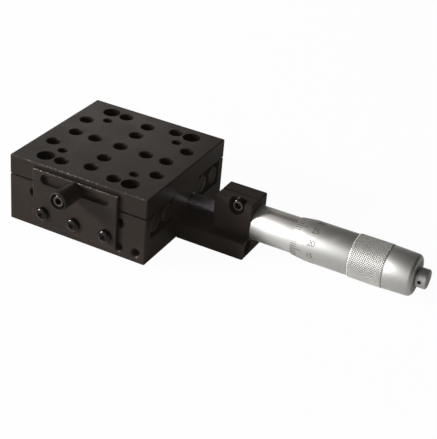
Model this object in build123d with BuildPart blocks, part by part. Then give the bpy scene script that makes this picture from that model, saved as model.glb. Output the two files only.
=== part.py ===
from build123d import *
import os
from math import sqrt

# Crossed-roller translation stage, 65 mm square, moved by a micrometer head.
# Millimetres. The origin is the centre of the base's underside, +Z is up, +X points to the
# micrometer and -Y is the front, where the locking plate is. The table stands at mid travel.

os.makedirs("parts", exist_ok=True)

# Whole stage, its heights from the bottom up
stage_side = 65.0
travel = 25.0
floor_z = 10.5  # the base's floor beside the channel
rail_seat = 1.4  # height of the outer rails' seats
rail_height = 8.0
table_seat = 1.8  # height of the inner rails' seats
table_thickness = 8.3
table_lift = 0.8  # daylight between the base's walls and the table
edge_break = 0.4
seat_gap = 0.3  # between pieces that pass each other
fit = 0.03  # radial clearance of a running fit
thread_fit = 0.05  # a screw's shank is this much smaller in radius than its thread

half_side = stage_side / 2
half_travel = travel / 2
rail_bottom = floor_z + rail_seat
rail_top = rail_bottom + rail_height
table_bottom = rail_top + table_seat
stage_height = table_bottom + table_thickness
wall_top = table_bottom - table_lift

# Metric screws
m3_radius = 1.5
m3_clearance = 1.7
m3_head_radius = 2.75
m3_head_height = 3.0
m3_bore_radius = 3.2
m3_socket_radius = 1.45  # over the hexagon's corners
m3_socket_depth = 1.4
m3_engagement = 6.0
m4_radius = 2.0
m4_tap_radius = 1.65
m4_socket_radius = 1.15
m4_socket_depth = 1.5
m6_tap_radius = 2.5
tap_spare = 1.0  # a blind thread goes on this far past its screw
m4_mouth = 0.6  # a tapped hole's mouth is this much wider in radius
m6_mouth = 0.75
set_mouth = 0.3

# Crossed-roller ways
roller_radius = 1.5
roller_length = 2.8
roller_pitch = 5.0
roller_tilt = 45
way_y = 19.5  # middle of each way, from the stage's middle plane
rail_width = 8.3
rail_gap = 1.4
rail_bevel = 0.4
rail_bolt_spacing = 40.2
rail_bolt_inset = 3.5  # from a rail's back face
rail_bore_radius = 3.0
rail_bore_depth = 3.4
groove_relief = 0.3
cage_thickness = 0.8
cage_height = 6.4
cage_margin = 2.5  # cage past its last roller's middle
end_head_radius = 3.8
end_head_length = 2.0
end_head_inset = 0.5  # from the stage's end
end_screw_depth = 5.0
end_slot_width = 1.0
end_slot_depth = 0.8
end_slot_turns = {"base": 34, "table": 38}

way_z = (rail_bottom + rail_top) / 2
rail_end = half_side - end_head_inset - end_head_length
rail_length = 2 * rail_end
groove_reach = (roller_radius + fit) * sqrt(2) - rail_gap / 2
outer_face = way_y + rail_gap / 2
outer_back = outer_face + rail_width
outer_middle = (outer_face + outer_back) / 2
outer_bolt_y = outer_back - rail_bolt_inset
inner_face = way_y - rail_gap / 2
inner_back = inner_face - rail_width
inner_middle = (inner_face + inner_back) / 2
inner_bolt_y = inner_back + rail_bolt_inset
roller_count = int((rail_length - half_travel - 2 * cage_margin) / roller_pitch) + 1
cage_length = (roller_count - 1) * roller_pitch + 2 * cage_margin

# Micrometer bracket
micrometer_y = 6.1
micrometer_z = 12.15
block_gap = 1.0  # from the table's end at full travel
block_length = 17.0
block_width = 14.3
stem_radius = 5.0
slit_width = 1.0
bore_wall = 1.4  # metal left between the clamp bore and the clamp screw's hole
block_over_screw = 2.6  # from the clamp screw's middle to the top of the block
clamp_screw_inset = 6.9  # from the block's outer face
clamp_pocket_radius = 3.4  # the screw's head lies in a pocket open at the top
clamp_pocket_depth = 4.1
bracket_bolt_spacing = 15.2
bracket_bolt_z = 3.9
bracket_grip = 10.0  # metal under the bracket screws' heads
foot_cover = 0.4  # metal over the bracket screws' counterbores
foot_side = 1.3  # and beside them

block_start = half_side + half_travel + block_gap
foot_end = block_start + block_length
foot_length = foot_end - half_side
foot_height = bracket_bolt_z + m3_bore_radius + foot_cover
foot_width = bracket_bolt_spacing + 2 * (m3_bore_radius + foot_side)
block_front = micrometer_y - block_width / 2
clamp_x = foot_end - clamp_screw_inset
clamp_z = micrometer_z + stem_radius + bore_wall + m3_clearance
block_top = clamp_z + block_over_screw
clamp_seat = block_front + clamp_pocket_depth
clamp_screw_length = block_width - clamp_pocket_depth - tap_spare

# Anvil in the table's end, where the spindle pushes
anvil_radius = 3.6
anvil_head = 0.8
anvil_bevel = 0.3
anvil_shank_radius = 2.0
anvil_shank_length = 2.4

# Base
boss_side_gap = 0.5
channel_clearance = 0.8  # under the table's boss
preload_relief = 0.2  # the front rail stands off its wall and is pushed by set screws
preload_spacing = 20.5
preload_sunk = 1.0
base_m6_spacing = 50.0
base_m6_depth = 8.0
side_hole_z = 4.5
side_hole_first = 20.2
side_hole_spacing = 8.0
side_hole_depth = 4.5

boss_bottom = foot_height + seat_gap
channel_z = boss_bottom - channel_clearance
channel_half = inner_back + boss_side_gap

# Table
tapped_depth = 8.0
m4_tapped_depth = 7.0
grid = 12.5
cross_hole = 22.2
m4_hole = 17.2
access_radius = 3.8

# Return springs, in slots along the table's boss
spring_y = 6.0
spring_z = 10.9
spring_radius = 2.3
spring_wire = 0.5
spring_lead = 0.4  # straight wire between the coils and a hook
pin_radius = 1.0
pin_sunk = 4.0
pin_past_spring = 1.9
slot_side_gap = 0.5
slot_headroom = 1.8
slot_right_wall = 0.4  # between a slot and the anvil's hole
slot_left_wall = 4.4  # between a slot and the boss's end

hook_radius = pin_radius + seat_gap + spring_wire / 2
hook_reach = hook_radius + spring_wire / 2
anvil_depth = anvil_head + anvil_shank_length + seat_gap
slot_right = half_side - anvil_depth - slot_right_wall
slot_left = slot_left_wall - half_side
slot_width = 2 * (spring_radius + slot_side_gap)
slot_ceiling = spring_z + spring_radius + slot_headroom
base_pin_x = slot_right - half_travel - hook_reach - seat_gap
table_pin_x = slot_left + hook_reach + seat_gap
coil_start = table_pin_x + hook_reach + spring_lead
coil_end = base_pin_x - hook_reach - spring_lead

# Locking plate and knob
plate_side = 3.75  # metal beside the slot
plate_bottom = 3.95
plate_above_slot = 1.35
plate_thickness = 1.8
plate_break = 0.3
plate_land_inset = 0.5  # from the top of the base's wall
plate_screw_z = 9.0
plate_screw_spacing = 15.0
plate_screw_length = 6.0
pan_radius = 3.0
pan_height = 2.1
pan_bevel = 0.8
lock_height = 3.0  # locking screw above the table's underside
lock_slot_width = 4.5
lock_slot_spare = 1.5
knob_radius = 4.0
knob_length = 11.3
knob_gap = 0.2
knob_break = 0.4
knob_bore_depth = 3.4

lock_z = table_bottom + lock_height
lock_slot_length = travel + lock_slot_width + 2 * lock_slot_spare
plate_width = lock_slot_length + 2 * plate_side
plate_top = lock_z + lock_slot_width / 2 + plate_above_slot
plate_relief_z = wall_top - plate_land_inset
plate_face = half_side + plate_thickness
knob_back = plate_face + knob_gap
knob_seat = knob_back + knob_length - knob_bore_depth

# Micrometer head, along X from the bracket's outer face
stem_inset = 0.5  # the stem's end lies this far inside the clamp block
sleeve_radius = 7.5
core_radius = 6.0
sleeve_overlap = 2.3  # sleeve left under the thimble when it is wound right out
tail_length = 5.0
tail_radius = 5.2
nut_radius = 7.2
nut_length = 4.4
thread_length = 15.0  # of the thread in the core
spindle_radius = 3.25
thread_step = 0.45  # from the spindle's plain radius to its thread's
thread_relief = 0.5
thimble_edge = 18.2  # at mid travel, from the bracket
thimble_bevel = 6.0
edge_wall = 0.25
thimble_radius = 8.65
thimble_clearance = 0.1
thimble_wall = 6.0
knurl_length = 14.6
knurl_rise = 0.42
knurl_break = 0.3
spigot_radius = 3.0
spigot_inset = 0.5
cap_neck = 0.4
cap_neck_radius = 8.5
cap_length = 11.8
cap_radius = 8.93
cap_taper = 0.38
cap_round = 1.7
end_screw_radius = 4.05
end_screw_length = 4.6
end_screw_bevel = 0.4
end_neck_radius = 3.0
end_neck_length = 0.5
end_shank_radius = 2.0
end_shank_depth = 9.0
pin_hole_radius = 0.8
pin_hole_at = 2.1  # from the cap's face
tip_gap = 0.05
tip_bevel = 0.4

sleeve_end = foot_end + thimble_edge + half_travel + sleeve_overlap
tail_end = sleeve_end + tail_length
edge_x = foot_end + thimble_edge
bevel_end = edge_x + thimble_bevel
thimble_floor = tail_end + half_travel + tap_spare
knurl_end = thimble_floor + thimble_wall
knurl_start = knurl_end - knurl_length
knurl_radius = thimble_radius + knurl_rise
thimble_bore = sleeve_radius + thimble_clearance
spindle_tip = half_side + tip_gap
spindle_thread_radius = spindle_radius + thread_step
spindle_thread_start = foot_end + half_travel + tip_bevel
relief_radius = spindle_thread_radius + thread_relief
relief_end = tail_end - thread_length
spigot_end = knurl_end - spigot_inset
cap_end = knurl_end + cap_length
screw_end = cap_end + end_screw_length

micrometer_plane = Plane(origin=(0, micrometer_y, micrometer_z), x_dir=(1, 0, 0), z_dir=(0, -1, 0))
micrometer_axis = Axis(origin=(0, micrometer_y, micrometer_z), direction=(1, 0, 0))
left_end = Plane.YZ.offset(-half_side)
right_end = Plane.YZ.offset(half_side)
front_face = Plane.XZ.offset(half_side)


def tapped_hole(radius, mouth, depth):
    """A tapped hole's core with its mouth chamfered at 45 degrees, at the current places."""
    CounterSinkHole(radius, radius + mouth, depth=depth, counter_sink_angle=90)


def cap_screws(seat, places, shank_length):
    """M3 socket cap screws, their heads standing on the seat plane, one at each place."""
    with BuildPart() as screws:
        with BuildSketch(seat):
            with Locations(*places):
                Circle(m3_head_radius)
        extrude(amount=m3_head_height)
        with BuildSketch(seat.offset(m3_head_height)):
            with Locations(*places):
                RegularPolygon(radius=m3_socket_radius, side_count=6)
        extrude(amount=-m3_socket_depth, mode=Mode.SUBTRACT)
        with BuildSketch(seat):
            with Locations(*places):
                Circle(m3_radius - thread_fit)
        extrude(amount=-shank_length)
    return screws


def end_screws(middle, slot_turn):
    """Slotted screws in the ends of a pair of rails, whose heads keep the cages in."""
    head_end = rail_end + end_head_length
    places = ((middle, way_z), (-middle, way_z))
    with BuildPart() as screws:
        with BuildSketch(Plane.YZ.offset(rail_end), Plane.YZ.offset(-head_end)):
            with Locations(*places):
                Circle(end_head_radius)
        extrude(amount=end_head_length)
        with BuildSketch(Plane.YZ.offset(head_end), Plane.YZ.offset(end_slot_depth - head_end)):
            with Locations(*places):
                Rectangle(2 * end_head_radius, end_slot_width, rotation=slot_turn)
        extrude(amount=-end_slot_depth, mode=Mode.SUBTRACT)
        with BuildSketch(Plane.YZ.offset(rail_end), Plane.YZ.offset(end_screw_depth - rail_end)):
            with Locations(*places):
                Circle(m3_radius - thread_fit)
        extrude(amount=-end_screw_depth)
    return screws


def rail(face, into, side, head_plane):
    """A hardened rail. face is its grooved face's distance from the stage's middle and into is
    +1 if its metal lies outside that face. side is -1 in front and +1 at the rear."""
    back = face + into * rail_width
    groove_start = face + into * (groove_reach - groove_relief)
    groove_end = face + into * (groove_reach + groove_relief)
    outline = (
        (face, rail_bottom),
        (back - into * rail_bevel, rail_bottom),
        (back, rail_bottom + rail_bevel),
        (back, rail_top - rail_bevel),
        (back - into * rail_bevel, rail_top),
        (face, rail_top),
        (face, way_z + groove_reach),
        (groove_start, way_z + groove_relief),
        (groove_end, way_z + groove_relief),
        (groove_end, way_z - groove_relief),
        (groove_start, way_z - groove_relief),
        (face, way_z - groove_reach),
    )
    bolt_y = side * (back - into * rail_bolt_inset)
    hole_depth = end_screw_depth + tap_spare
    with BuildPart() as piece:
        with BuildSketch(Plane.YZ.offset(-rail_end)):
            with BuildLine():
                Polyline(*[(side * y, z) for y, z in outline], close=True)
            make_face()
        extrude(amount=rail_length)
        with Locations(head_plane):
            with Locations((0, bolt_y * head_plane.y_dir.Y)):
                with GridLocations(rail_bolt_spacing, 0, 2, 1):
                    CounterBoreHole(
                        radius=m3_clearance,
                        counter_bore_radius=rail_bore_radius,
                        counter_bore_depth=rail_bore_depth,
                        depth=rail_height,
                    )
        with BuildSketch(Plane.YZ.offset(rail_end), Plane.YZ.offset(hole_depth - rail_end)):
            with Locations((side * (face + back) / 2, way_z)):
                Circle(m3_radius)
        extrude(amount=-hole_depth, mode=Mode.SUBTRACT)
    return piece


def turned(outline, rounded_corner=None, rounding=0.0):
    """A piece turned about the micrometer's axis, from its outline as (x, radius) points. One
    corner of the outline, given by its place in the list from 0, may be rounded."""
    with BuildPart() as piece:
        with BuildSketch(micrometer_plane):
            with BuildLine():
                Polyline(*outline, close=True)
            profile = make_face()
            if rounded_corner is not None:
                corner = Vector(*outline[rounded_corner])
                nearest = profile.vertices().sort_by_distance(corner)[0]
                fillet(nearest, radius=rounding)
        revolve(axis=micrometer_axis)
    return piece


# Base: a block with a stepped channel along X for the table's boss and the two ways
with BuildPart() as base:
    with BuildSketch(left_end):
        with BuildLine():
            Polyline(
                (0, 0),
                (half_side, 0),
                (half_side, wall_top),
                (outer_back, wall_top),
                (outer_back, floor_z),
                (channel_half, floor_z),
                (channel_half, channel_z),
                (0, channel_z),
                close=True,
            )
        make_face()
        mirror(about=Plane.YZ)
    extrude(amount=stage_side)
    base_uprights = base.edges().filter_by(Axis.Z)
    base_corners = base_uprights.filter_by(lambda edge: abs(edge.center().Y) > outer_back)
    bottom_edges = base.faces().sort_by(Axis.Z)[0].edges()
    chamfer(base_corners + bottom_edges, length=edge_break)
    # Relief behind the front rail
    with BuildSketch(left_end):
        with Locations((-outer_back - preload_relief / 2, (rail_bottom + wall_top) / 2)):
            Rectangle(preload_relief, wall_top - rail_bottom)
    extrude(amount=stage_side, mode=Mode.SUBTRACT)
    # Seats for the outer rails
    with BuildSketch(Plane.XY.offset(floor_z)):
        with GridLocations(0, 2 * outer_middle, 1, 2):
            Rectangle(rail_length, rail_width)
    extrude(amount=rail_seat)
    with Locations(Plane.XY.offset(rail_bottom)):
        with GridLocations(rail_bolt_spacing, 2 * outer_bolt_y, 2, 2):
            Hole(radius=m3_radius, depth=m3_engagement + tap_spare)
    # Front face: preload screws, plate screws and two spare tapped holes
    with Locations(front_face):
        with Locations((0, way_z)):
            with GridLocations(preload_spacing, 0, 3, 1):
                tapped_hole(m4_radius, set_mouth, half_side - outer_back)
        with Locations((0, plate_screw_z)):
            with GridLocations(plate_screw_spacing, 0, 3, 1):
                Hole(radius=m3_radius, depth=plate_screw_length - plate_thickness + tap_spare)
        with Locations((side_hole_first + side_hole_spacing / 2, side_hole_z)):
            with GridLocations(side_hole_spacing, 0, 2, 1):
                tapped_hole(m4_tap_radius, m4_mouth, side_hole_depth)
    # Right end: threads for the bracket's screws
    with Locations(right_end):
        with Locations((micrometer_y, bracket_bolt_z)):
            with GridLocations(bracket_bolt_spacing, 0, 2, 1):
                Hole(radius=m3_radius, depth=m3_engagement + tap_spare)
    # Holes for the spring pins, and the mounting threads in the underside
    with Locations(Plane.XY.offset(channel_z)):
        with Locations((base_pin_x, spring_y), (base_pin_x, -spring_y)):
            Hole(radius=pin_radius, depth=pin_sunk)
    with Locations(-Plane.XY):
        with GridLocations(base_m6_spacing, base_m6_spacing, 2, 2):
            tapped_hole(m6_tap_radius, m6_mouth, base_m6_depth)
base.part.label = "base"
export_step(base.part, "parts/base.step")

# Table: a plate with a deep boss between the inner rails, and a seat for each inner rail
with BuildPart() as table:
    with BuildSketch(left_end):
        with BuildLine():
            Polyline(
                (0, boss_bottom),
                (inner_back, boss_bottom),
                (inner_back, table_bottom),
                (half_side, table_bottom),
                (half_side, stage_height),
                (0, stage_height),
                close=True,
            )
        make_face()
        mirror(about=Plane.YZ)
    extrude(amount=stage_side)
    table_uprights = table.edges().filter_by(Axis.Z)
    table_corners = table_uprights.filter_by(lambda edge: abs(edge.center().Y) > outer_back)
    top_edges = table.faces().sort_by(Axis.Z)[-1].edges()
    chamfer(table_corners + top_edges, length=edge_break)
    with BuildSketch(Plane.XY.offset(rail_top)):
        with GridLocations(0, 2 * inner_middle, 1, 2):
            Rectangle(rail_length, rail_width)
    extrude(amount=table_seat)
    # Holes in the top, right through where only the plate is under them
    with Locations(Plane.XY.offset(stage_height)):
        with GridLocations(2 * grid, 4 * grid, 2, 2):
            tapped_hole(m6_tap_radius, m6_mouth, table_thickness)
        with GridLocations(0, 2 * cross_hole, 1, 2):
            tapped_hole(m6_tap_radius, m6_mouth, table_thickness)
        with GridLocations(4 * grid, 2 * grid, 2, 2):
            tapped_hole(m6_tap_radius, m6_mouth, tapped_depth)
        with GridLocations(2 * cross_hole, 0, 2, 1):
            tapped_hole(m6_tap_radius, m6_mouth, tapped_depth)
        with Locations((0, 0), (grid, 0), (-grid, 0), (0, grid), (0, -grid)):
            tapped_hole(m6_tap_radius, m6_mouth, tapped_depth)
        with GridLocations(2 * m4_hole, 2 * m4_hole, 2, 2):
            tapped_hole(m4_tap_radius, m4_mouth, m4_tapped_depth)
        with GridLocations(rail_bolt_spacing, 2 * outer_bolt_y, 2, 2):
            Hole(radius=access_radius, depth=table_thickness)
    # Threads for the inner rails' screws and the locking screw
    with Locations(-Plane.XY.offset(rail_top)):
        with GridLocations(rail_bolt_spacing, 2 * inner_bolt_y, 2, 2):
            Hole(radius=m3_radius, depth=m3_engagement)
    with Locations(front_face):
        with Locations((0, lock_z)):
            Hole(radius=m3_radius, depth=m3_engagement + tap_spare)
    # Spring slots along the boss, open at its underside, with a pin hole in each ceiling
    with BuildSketch(Plane.XY.offset(boss_bottom)):
        with Locations(((slot_left + slot_right) / 2, 0)):
            with GridLocations(0, 2 * spring_y, 1, 2):
                SlotOverall(slot_right - slot_left, slot_width)
    extrude(amount=slot_ceiling - boss_bottom, mode=Mode.SUBTRACT)
    with Locations(-Plane.XY.offset(slot_ceiling)):
        with Locations((table_pin_x, spring_y), (table_pin_x, -spring_y)):
            Hole(radius=pin_radius, depth=pin_sunk)
    # Seat for the anvil
    with Locations(right_end):
        with Locations((micrometer_y, micrometer_z)):
            CounterBoreHole(
                radius=anvil_shank_radius + fit,
                counter_bore_radius=anvil_radius + fit,
                counter_bore_depth=anvil_head,
                depth=anvil_depth,
            )
table.part.label = "table"
export_step(table.part, "parts/table.step")

# Rails, rollers and cages: one way in front and its mirror image at the rear
for place, side in (("front", -1), ("rear", 1)):
    outer_rail = rail(outer_face, 1, side, Plane.XY.offset(rail_top))
    outer_rail.part.label = f"outer_rail_{place}"
    export_step(outer_rail.part, f"parts/outer_rail_{place}.step")

    inner_rail = rail(inner_face, -1, side, -Plane.XY.offset(rail_bottom))
    inner_rail.part.label = f"inner_rail_{place}"
    export_step(inner_rail.part, f"parts/inner_rail_{place}.step")

    with BuildPart() as rollers:
        for number in range(roller_count):
            roller_x = (number - (roller_count - 1) / 2) * roller_pitch
            tilt = roller_tilt if number % 2 else -roller_tilt
            with Locations(Location((roller_x, side * way_y, way_z), (tilt, 0, 0))):
                Cylinder(radius=roller_radius, height=roller_length)
    rollers.part.label = f"rollers_{place}"
    export_step(rollers.part, f"parts/rollers_{place}.step")

    with BuildPart() as roller_cage:
        with BuildSketch(Plane.XZ.offset(-side * way_y - cage_thickness / 2)):
            with Locations((0, way_z)):
                Rectangle(cage_length, cage_height)
                with GridLocations(roller_pitch, 0, roller_count, 1):
                    Rectangle(
                        2 * (roller_radius + fit),
                        (2 * roller_radius + roller_length) / sqrt(2) + 2 * fit,
                        mode=Mode.SUBTRACT,
                    )
        extrude(amount=cage_thickness)
    roller_cage.part.label = f"roller_cage_{place}"
    export_step(roller_cage.part, f"parts/roller_cage_{place}.step")

base_end_screws = end_screws(outer_middle, end_slot_turns["base"])
base_end_screws.part.label = "base_end_screws"
export_step(base_end_screws.part, "parts/base_end_screws.step")

table_end_screws = end_screws(inner_middle, end_slot_turns["table"])
table_end_screws.part.label = "table_end_screws"
export_step(table_end_screws.part, "parts/table_end_screws.step")

half_bolts = rail_bolt_spacing / 2
base_rail_screws = cap_screws(
    Plane.XY.offset(rail_top - rail_bore_depth),
    [(x, y) for x in (-half_bolts, half_bolts) for y in (-outer_bolt_y, outer_bolt_y)],
    rail_height - rail_bore_depth + m3_engagement,
)
base_rail_screws.part.label = "base_rail_screws"
export_step(base_rail_screws.part, "parts/base_rail_screws.step")

table_rail_screws = cap_screws(
    -Plane.XY.offset(rail_bottom + rail_bore_depth),
    [(x, y) for x in (-half_bolts, half_bolts) for y in (-inner_bolt_y, inner_bolt_y)],
    rail_height - rail_bore_depth + m3_engagement - tap_spare,
)
table_rail_screws.part.label = "table_rail_screws"
export_step(table_rail_screws.part, "parts/table_rail_screws.step")

# Set screws that push the front rail towards the table
with BuildPart() as preload_screws:
    with BuildSketch(front_face.offset(-preload_sunk)):
        with Locations((0, way_z)):
            with GridLocations(preload_spacing, 0, 3, 1):
                Circle(m4_radius - thread_fit)
    extrude(amount=outer_back - half_side + preload_sunk)
    with BuildSketch(front_face.offset(-preload_sunk)):
        with Locations((0, way_z)):
            with GridLocations(preload_spacing, 0, 3, 1):
                RegularPolygon(radius=m4_socket_radius, side_count=6)
    extrude(amount=-m4_socket_depth, mode=Mode.SUBTRACT)
preload_screws.part.label = "preload_screws"
export_step(preload_screws.part, "parts/preload_screws.step")

# Locking plate: screwed to the base's front, clear of the table, with a slot for the screw
with BuildPart() as locking_plate:
    with BuildSketch(front_face):
        with Locations((0, (plate_bottom + plate_top) / 2)):
            Rectangle(plate_width, plate_top - plate_bottom)
    extrude(amount=plate_thickness)
    chamfer(locking_plate.faces().sort_by(Axis.Y)[0].edges(), length=plate_break)
    with BuildSketch(front_face):
        with Locations((0, (plate_relief_z + plate_top) / 2)):
            Rectangle(plate_width, plate_top - plate_relief_z)
    extrude(amount=seat_gap, mode=Mode.SUBTRACT)
    with BuildSketch(front_face):
        with Locations((0, lock_z)):
            SlotOverall(lock_slot_length, lock_slot_width)
    extrude(amount=plate_thickness, mode=Mode.SUBTRACT)
    with Locations(front_face.offset(plate_thickness)):
        with Locations((0, plate_screw_z)):
            with GridLocations(plate_screw_spacing, 0, 3, 1):
                Hole(radius=m3_clearance, depth=plate_thickness)
locking_plate.part.label = "locking_plate"
export_step(locking_plate.part, "parts/locking_plate.step")

with BuildPart() as plate_screws:
    with BuildSketch(front_face.offset(plate_thickness)):
        with Locations((0, plate_screw_z)):
            with GridLocations(plate_screw_spacing, 0, 3, 1):
                Circle(pan_radius)
    extrude(amount=pan_height)
    pan_rims = plate_screws.edges().group_by(Axis.Y)[0]
    chamfer(pan_rims, length=pan_bevel)
    with BuildSketch(front_face.offset(plate_thickness)):
        with Locations((0, plate_screw_z)):
            with GridLocations(plate_screw_spacing, 0, 3, 1):
                Circle(m3_radius - thread_fit)
    extrude(amount=-plate_screw_length)
plate_screws.part.label = "plate_screws"
export_step(plate_screws.part, "parts/plate_screws.step")

# Lock knob: a sleeve on the locking screw, which clamps the plate to the table
with BuildPart() as lock_knob:
    with BuildSketch(Plane.XZ.offset(knob_back)):
        with Locations((0, lock_z)):
            Circle(knob_radius)
    extrude(amount=knob_length)
    chamfer(lock_knob.edges().filter_by(GeomType.CIRCLE), length=knob_break)
    with Locations(Plane.XZ.offset(knob_back + knob_length)):
        with Locations((0, lock_z)):
            CounterBoreHole(
                radius=m3_radius + thread_fit,
                counter_bore_radius=m3_bore_radius,
                counter_bore_depth=knob_bore_depth,
                depth=knob_length,
            )
lock_knob.part.label = "lock_knob"
export_step(lock_knob.part, "parts/lock_knob.step")

lock_screw = cap_screws(
    Plane.XZ.offset(knob_seat),
    [(0, lock_z)],
    knob_seat - half_side + m3_engagement,
)
lock_screw.part.label = "lock_screw"
export_step(lock_screw.part, "parts/lock_screw.step")

# Spring pins and return springs
spring_places = ((spring_y, spring_z), (-spring_y, spring_z))

with BuildPart() as base_spring_pins:
    with BuildSketch(Plane.XY.offset(channel_z - pin_sunk)):
        with Locations((base_pin_x, spring_y), (base_pin_x, -spring_y)):
            Circle(pin_radius)
    extrude(amount=pin_sunk + spring_z + pin_past_spring - channel_z)
base_spring_pins.part.label = "base_spring_pins"
export_step(base_spring_pins.part, "parts/base_spring_pins.step")

with BuildPart() as table_spring_pins:
    with BuildSketch(Plane.XY.offset(slot_ceiling + pin_sunk)):
        with Locations((table_pin_x, spring_y), (table_pin_x, -spring_y)):
            Circle(pin_radius)
    extrude(amount=spring_z - pin_past_spring - slot_ceiling - pin_sunk)
table_spring_pins.part.label = "table_spring_pins"
export_step(table_spring_pins.part, "parts/table_spring_pins.step")

with BuildPart() as return_springs:
    # Close-wound coils, with the last turn brought across to the middle at each end
    with BuildSketch(Plane.YZ.offset(coil_start)):
        with Locations(*spring_places):
            Circle(spring_radius)
            Circle(spring_radius - spring_wire, mode=Mode.SUBTRACT)
    extrude(amount=coil_end - coil_start)
    with BuildSketch(Plane.YZ.offset(coil_start), Plane.YZ.offset(coil_end - spring_wire)):
        with Locations(*spring_places):
            Rectangle(spring_wire, 2 * spring_radius - spring_wire)
    extrude(amount=spring_wire)
    # Hooks round the pins
    with BuildSketch(Plane.YZ.offset(table_pin_x + hook_radius), Plane.YZ.offset(coil_end)):
        with Locations(*spring_places):
            Rectangle(spring_wire, spring_wire)
    extrude(amount=base_pin_x - hook_radius - coil_end)
    with BuildSketch(Plane.XY.offset(spring_z - spring_wire / 2)):
        with Locations(((table_pin_x + base_pin_x) / 2, 0)):
            with GridLocations(base_pin_x - table_pin_x, 2 * spring_y, 2, 2):
                Circle(hook_reach)
                Circle(hook_reach - spring_wire, mode=Mode.SUBTRACT)
    extrude(amount=spring_wire)
return_springs.part.label = "return_springs"
export_step(return_springs.part, "parts/return_springs.step")

# Micrometer bracket: a foot screwed to the base's end, with a split clamp block on it
with BuildPart() as bracket_foot:
    with BuildSketch():
        with Locations((half_side + foot_length / 2, micrometer_y)):
            Rectangle(foot_length, foot_width)
    extrude(amount=foot_height)
    foot_uprights = bracket_foot.edges().filter_by(Axis.Z).group_by(Axis.X)[-1]
    foot_top = bracket_foot.faces().sort_by(Axis.Z)[-1].edges()
    chamfer(foot_uprights + foot_top, length=edge_break)

with BuildPart() as micrometer_bracket:
    with BuildSketch():
        with Locations((foot_end - block_length / 2, micrometer_y)):
            Rectangle(block_length, block_width)
    extrude(amount=block_top)
    block_uprights = micrometer_bracket.edges().filter_by(Axis.Z)
    block_rim = micrometer_bracket.faces().sort_by(Axis.Z)[-1].edges()
    chamfer(block_uprights + block_rim, length=edge_break)
    add(bracket_foot.part)
    # Clamp bore and the slit above it
    with BuildSketch(Plane.YZ.offset(block_start)):
        with Locations((micrometer_y, micrometer_z)):
            Circle(stem_radius)
        with Locations((micrometer_y, (micrometer_z + block_top) / 2)):
            Rectangle(slit_width, block_top - micrometer_z)
    extrude(amount=block_length, mode=Mode.SUBTRACT)
    # Clamp screw's hole, threaded behind the slit, in a pocket that is open at the top
    with Locations(Plane.XZ.offset(-block_front)):
        with Locations((clamp_x, clamp_z)):
            Hole(radius=m3_radius, depth=block_width)
            CounterBoreHole(
                radius=m3_clearance,
                counter_bore_radius=clamp_pocket_radius,
                counter_bore_depth=clamp_pocket_depth,
                depth=block_width / 2,
            )
    with BuildSketch(Plane.XZ.offset(-block_front)):
        with Locations((clamp_x, clamp_z + block_over_screw / 2)):
            Rectangle(2 * clamp_pocket_radius, block_over_screw)
    extrude(amount=-clamp_pocket_depth, mode=Mode.SUBTRACT)
    # Bracket screws' holes
    with Locations(Plane.YZ.offset(foot_end)):
        with Locations((micrometer_y, bracket_bolt_z)):
            with GridLocations(bracket_bolt_spacing, 0, 2, 1):
                CounterBoreHole(
                    radius=m3_clearance,
                    counter_bore_radius=m3_bore_radius,
                    counter_bore_depth=foot_length - bracket_grip,
                    depth=foot_length,
                )
micrometer_bracket.part.label = "micrometer_bracket"
export_step(micrometer_bracket.part, "parts/micrometer_bracket.step")

half_bracket_bolts = bracket_bolt_spacing / 2
bracket_screws = cap_screws(
    Plane.YZ.offset(half_side + bracket_grip),
    [(micrometer_y + y, bracket_bolt_z) for y in (-half_bracket_bolts, half_bracket_bolts)],
    bracket_grip + m3_engagement,
)
bracket_screws.part.label = "bracket_screws"
export_step(bracket_screws.part, "parts/bracket_screws.step")

clamp_screw = cap_screws(Plane.XZ.offset(-clamp_seat), [(clamp_x, clamp_z)], clamp_screw_length)
clamp_screw.part.label = "clamp_screw"
export_step(clamp_screw.part, "parts/clamp_screw.step")

# Micrometer core: the stem held in the clamp, the tube under the sleeve and the threaded tail
micrometer_body = turned(
    (
        (block_start + stem_inset, spindle_radius + fit),
        (block_start + stem_inset, stem_radius - fit),
        (foot_end, stem_radius - fit),
        (foot_end, core_radius),
        (sleeve_end, core_radius),
        (sleeve_end, tail_radius),
        (tail_end, tail_radius),
        (tail_end, spindle_thread_radius + thread_fit),
        (relief_end, spindle_thread_radius + thread_fit),
        (relief_end, relief_radius),
        (foot_end, relief_radius),
        (foot_end, spindle_radius + fit),
    )
)
micrometer_body.part.label = "micrometer_body"
export_step(micrometer_body.part, "parts/micrometer_body.step")

scale_sleeve = turned(
    (
        (foot_end, core_radius + fit),
        (foot_end, sleeve_radius),
        (sleeve_end, sleeve_radius),
        (sleeve_end, core_radius + fit),
    )
)
scale_sleeve.part.label = "scale_sleeve"
export_step(scale_sleeve.part, "parts/scale_sleeve.step")

adjusting_nut = turned(
    (
        (sleeve_end + seat_gap, tail_radius + thread_fit),
        (sleeve_end + seat_gap, nut_radius),
        (sleeve_end + seat_gap + nut_length, nut_radius),
        (sleeve_end + seat_gap + nut_length, tail_radius + thread_fit),
    )
)
adjusting_nut.part.label = "adjusting_nut"
export_step(adjusting_nut.part, "parts/adjusting_nut.step")

spindle = turned(
    (
        (spindle_tip, 0),
        (spindle_tip, spindle_radius - tip_bevel),
        (spindle_tip + tip_bevel, spindle_radius),
        (spindle_thread_start, spindle_radius),
        (spindle_thread_start, spindle_thread_radius),
        (thimble_floor, spindle_thread_radius),
        (thimble_floor, spigot_radius),
        (spigot_end, spigot_radius),
        (spigot_end, end_shank_radius),
        (spigot_end - end_shank_depth - tap_spare, end_shank_radius),
        (spigot_end - end_shank_depth - tap_spare, 0),
    )
)
spindle.part.label = "spindle"
export_step(spindle.part, "parts/spindle.step")

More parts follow.
